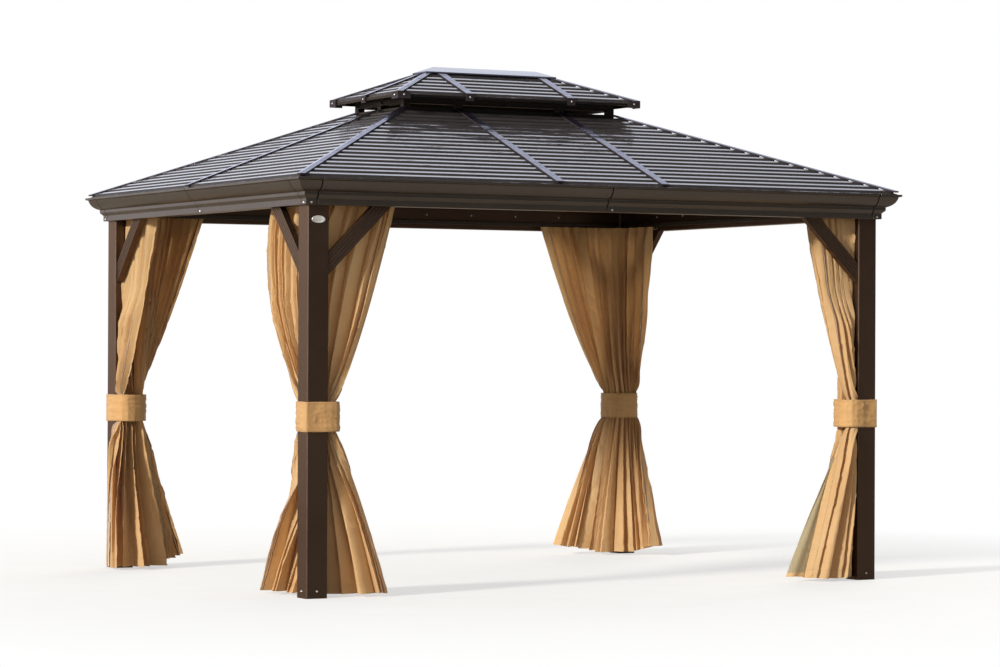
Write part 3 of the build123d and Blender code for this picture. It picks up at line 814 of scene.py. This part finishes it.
# Turned pieces: profiles are (radius, rise, six-sided) from the rim to the middle
def turned(profile, centre, outward, flatten=1.0, segments=18):
    """Points and faces of a round or oval form standing on a face."""
    outward = Vector(outward)
    side = Vector((0, 0, 1)).cross(outward).normalized()
    upward = outward.cross(side)
    points = []
    for radius, rise, six_sided in profile:
        for step in range(segments):
            turn = 2 * math.pi * step / segments
            reach = radius
            if six_sided:
                reach *= math.cos(math.pi / 6) / math.cos(turn % (math.pi / 3) - math.pi / 6)
            points.append(Vector(centre) + rise * outward + reach * math.cos(turn) * side
                          + flatten * reach * math.sin(turn) * upward)
    faces = grid_faces(segments, len(profile), True)
    faces.append(tuple(range((len(profile) - 1) * segments, len(profile) * segments)))
    return points, faces


def joined(name, forms, material):
    """One piece made of several forms."""
    points = []
    faces = []
    for form_points, form_faces in forms:
        start = len(points)
        points.extend(form_points)
        faces.extend(tuple(index + start for index in face) for face in form_faces)
    piece = new_piece(name, points, faces, material)
    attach(piece, "root")
    return piece


# Button-head screws with a six-sided socket
screw_radius = 0.0058
SCREW = [
    (screw_radius, 0.0, False), (screw_radius, 0.0012, False), (0.86 * screw_radius, 0.0028, False),
    (0.56 * screw_radius, 0.0036, False), (0.50 * screw_radius, 0.0036, True),
    (0.46 * screw_radius, 0.0014, True),
]
screw_metal = bare_metal("screw_metal", (0.62, 0.60, 0.57), gloss=0.30)
foot_screw_height = 0.036
band_screw_height = beam_low + 0.011
cornice_depth = 0.021
band_face_x = outer_x + cornice_depth
band_face_y = outer_y + cornice_depth
screw_inset = 0.030
beam_screw_spacing = 0.30
LONG_BEAM_STEPS = range(-4, 5)
SHORT_BEAM_STEPS = range(-3, 4)
tab_gap = 0.1
tab_slack = 0.0005
post_middle = post_width / 2


# Each function gives the places and outward directions of one set of screws
def post_screws():
    for sx, sy in CORNERS.values():
        yield (sx * (outer_x - post_middle), sy * outer_y, foot_screw_height), (0, sy, 0)
        yield (sx * outer_x, sy * (outer_y - post_middle), foot_screw_height), (sx, 0, 0)


def cornice_screws():
    for sx, sy in CORNERS.values():
        yield (sx * (band_face_x - screw_inset), sy * band_face_y, band_screw_height), (0, sy, 0)
        yield (sx * band_face_x, sy * (band_face_y - screw_inset), band_screw_height), (sx, 0, 0)
    for sign in (-1, 1):
        yield (screw_inset, sign * band_face_y, band_screw_height), (0, sign, 0)
        yield (sign * band_face_x, -screw_inset, band_screw_height), (sign, 0, 0)


def beam_screws():
    height = (rail_high + beam_high) / 2
    beam_inner_x = beam_inner + outer_x - outer_y
    for sign in (-1, 1):
        for step in LONG_BEAM_STEPS:
            yield (step * beam_screw_spacing, sign * beam_inner, height), (0, -sign, 0)
        for step in SHORT_BEAM_STEPS:
            yield (sign * beam_inner_x, step * beam_screw_spacing, height), (-sign, 0, 0)


def tab_screws():
    """One screw on each tab that the upper strips turn down over the eave."""
    for name in ("upper_seam_strips", "upper_hip_caps"):
        low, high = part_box(name)
        node = nodes[name]
        corners = [node.matrix_world @ vertex.co for vertex in node.data.vertices]
        for axis in (0, 1):
            for sign, face in ((-1, low[axis]), (1, high[axis])):
                on_face = [place for place in corners if abs(place[axis] - face) < tab_slack]
                spots = sorted(place[1 - axis] for place in on_face)
                heights = [place.z for place in on_face]
                height = (min(heights) + max(heights)) / 2
                breaks = [i for i in range(1, len(spots)) if spots[i] - spots[i - 1] > tab_gap]
                for start, stop in zip([0] + breaks, breaks + [len(spots)]):
                    middle = (spots[start] + spots[stop - 1]) / 2
                    place = (face, middle, height) if axis == 0 else (middle, face, height)
                    yield place, ((sign, 0, 0) if axis == 0 else (0, sign, 0))


for name, places in (
    ("post_screws", post_screws()), ("cornice_screws", cornice_screws()),
    ("beam_screws", beam_screws()), ("tab_screws", tab_screws()),
):
    screws = joined(name, [turned(SCREW, centre, outward) for centre, outward in places], screw_metal)

# Blank oval plate with a raised rim on the near post
plate_radius = 0.037
plate_height = 1.893
plate_flatten = 0.5
PLATE = [
    (plate_radius, 0.0, False), (plate_radius, 0.0016, False), (0.95 * plate_radius, 0.0030, False),
    (0.87 * plate_radius, 0.0030, False), (0.82 * plate_radius, 0.0017, False),
    (0.3 * plate_radius, 0.0019, False),
]
plate_metal = bare_metal("plate_metal", (0.72, 0.72, 0.71), gloss=0.34, metal=0.5)
plate_place = (post_middle - outer_x, -outer_y, plate_height)
plate_form = turned(PLATE, plate_place, (0, -1, 0), plate_flatten, segments=48)
oval_plate = joined("oval_plate", [plate_form], plate_metal)

# Rings that carry each curtain on its rails
ring_radius = 0.011
ring_wire = 0.0016
ring_sides = 16
wire_sides = 6
rings_per_leg = 7
RING_SPAN = (0.14, 0.96)
ring_height = rail_low - 0.006
ring_metal = bare_metal("ring_metal", (0.50, 0.49, 0.47), gloss=0.36)


def hoop(centre, along):
    """A wire ring standing square to the rail."""
    along = Vector(along)
    points = []
    for step in range(ring_sides):
        turn = 2 * math.pi * step / ring_sides
        arm = math.cos(turn) * Vector((0, 0, 1)) + math.sin(turn) * Vector((along.y, along.x, 0))
        for part in range(wire_sides):
            lean = 2 * math.pi * part / wire_sides
            points.append(Vector(centre) + arm * (ring_radius + ring_wire * math.cos(lean))
                          + along * (ring_wire * math.sin(lean)))
    faces = grid_faces(wire_sides, ring_sides, True)
    last = (ring_sides - 1) * wire_sides
    for part in range(wire_sides):
        after = (part + 1) % wire_sides
        faces.append((last + part, last + after, after, part))
    return points, faces


for corner, (sx, sy) in CORNERS.items():
    (reach_a, _), (reach_b, _) = REACHES[corner]
    hoops = []
    for share in np.linspace(*RING_SPAN, rings_per_leg):
        on_a = (sx * (inner_x - share * reach_a), sy * (inner_y - ring_line), ring_height)
        on_b = (sx * (inner_x - ring_line), sy * (inner_y - share * reach_b), ring_height)
        hoops += [hoop(on_a, (1, 0, 0)), hoop(on_b, (0, 1, 0))]
    rings = joined(f"rings_{corner}", hoops, ring_metal)


# Floor, light and camera
floor_size = 60.0
# The floor's colour to all but the camera, and the radii over which it turns white to the camera
FLOOR_BOUNCE = (0.40, 0.38, 0.345)
fade_from = 2.2
fade_to = 5.5
# The sky that reflections see: its lit side, its colour, and its brightness away from and on that side
SKY_SIDE = (-0.55, 0.45, 0.70)
SKY_COLOUR = (0.93, 0.96, 1.07)
sky_dark = 0.03
sky_bright = 1.15
# The light from all round, and the colours of the lamps
ambient = 0.42
WARM = (1.0, 0.95, 0.85)
WHITE = (1.0, 1.0, 1.0)


def white_floor():
    """Pale floor that fades to plain white away from the object and keeps its shadow."""
    g = new_material("floor_white")
    place = g.coordinates()
    distance = g.add("ShaderNodeVectorMath", operation="LENGTH")
    g.link(place, distance.inputs[0])
    grain = g.noise(place, scale=3.0, detail=3.0)
    seen = g.add("ShaderNodeLightPath").outputs["Is Camera Ray"]
    pale = g.ramp(grain, (0.3, (0.80, 0.80, 0.80)), (0.7, (0.84, 0.84, 0.84)))
    colour = g.mix(seen, FLOOR_BOUNCE, pale)
    shader = g.shader(Base_Color=colour, Roughness=0.9, Specular_IOR_Level=0.0)
    white = g.add("ShaderNodeEmission")
    far = g.level(distance.outputs["Value"], low=0.55, high=1.0, start=fade_from, end=fade_to)
    both = g.add("ShaderNodeMixShader")
    g.link(g.math("MULTIPLY", seen, far), both.inputs["Fac"])
    g.link(shader.outputs["BSDF"], both.inputs[1])
    g.link(white.outputs["Emission"], both.inputs[2])
    return g.finish(both.outputs["Shader"])


floor_corners = [(sx * floor_size, sy * floor_size, 0) for sx, sy in ((-1, -1), (1, -1), (1, 1), (-1, 1))]
floor = new_piece("floor", floor_corners, [(0, 1, 2, 3)], white_floor(), smooth=False)


def studio_world():
    """White to the camera; in reflections a sky that is bright behind the left and dark in front."""
    world = bpy.data.worlds.new("studio")
    bpy.context.scene.world = world
    g = Graph(world)
    paths = g.add("ShaderNodeLightPath").outputs
    direct = g.math("MAXIMUM", paths["Is Camera Ray"], paths["Is Transmission Ray"])
    towards = g.add("ShaderNodeVectorMath", operation="DOT_PRODUCT")
    g.link(g.coordinates("Generated"), towards.inputs[0])
    towards.inputs[1].default_value = Vector(SKY_SIDE).normalized()
    glossy = paths["Is Glossy Ray"]
    dome = g.level(towards.outputs["Value"], low=sky_dark, high=sky_bright, start=-0.22, end=0.46)
    soft = g.math("ADD", g.math("MULTIPLY", dome, glossy),
                  g.math("MULTIPLY", ambient, g.math("SUBTRACT", 1.0, glossy)))
    strength = g.math("ADD", direct, g.math("MULTIPLY", soft, g.math("SUBTRACT", 1.0, direct)))
    sky = g.add("ShaderNodeBackground")
    g.link(g.mix(glossy, WHITE, SKY_COLOUR), sky.inputs["Color"])
    g.link(strength, sky.inputs["Strength"])
    g.link(sky.outputs["Background"], g.add("ShaderNodeOutputWorld").inputs["Surface"])


studio_world()


def lamp(name, towards, strength, spread, colour, glare=True):
    """A sun lamp; without glare, glossy surfaces don't mirror it."""
    light = bpy.data.lights.new(name, "SUN")
    light.energy = strength
    light.color = colour
    light.angle = math.radians(spread)
    piece = bpy.data.objects.new(name, light)
    piece.rotation_euler = Vector(towards).to_track_quat("-Z", "Y").to_euler()
    piece.visible_glossy = glare
    bpy.context.scene.collection.objects.link(piece)


lamp("key", (0.88, 0.26, -0.38), strength=4.2, spread=8.0, colour=WARM)
lamp("fill", (0.10, 0.90, -0.40), strength=0.15, spread=50.0, colour=WHITE, glare=False)
lamp("back", (-0.62, -0.70, -0.36), strength=1.8, spread=40.0, colour=WARM, glare=False)

# Camera at the photograph's angle
camera_data = bpy.data.cameras.new("camera")
camera_data.sensor_width = 36.0
camera_data.lens = 121.005
camera_data.clip_end = 200.0
camera = bpy.data.objects.new("camera", camera_data)
yaw = math.radians(28.063)
pitch = math.radians(0.242)
roll = math.radians(0.240)
forward = Vector((math.sin(yaw) * math.cos(pitch), math.cos(yaw) * math.cos(pitch), math.sin(pitch)))
camera.location = (-8.7328, -16.5732, 1.2556)
camera.rotation_euler = (forward.to_track_quat("-Z", "Y") @ Quaternion((0, 0, 1), roll)).to_euler()
bpy.context.scene.collection.objects.link(camera)
bpy.context.scene.camera = camera
bpy.context.scene.view_settings.view_transform = "Standard"
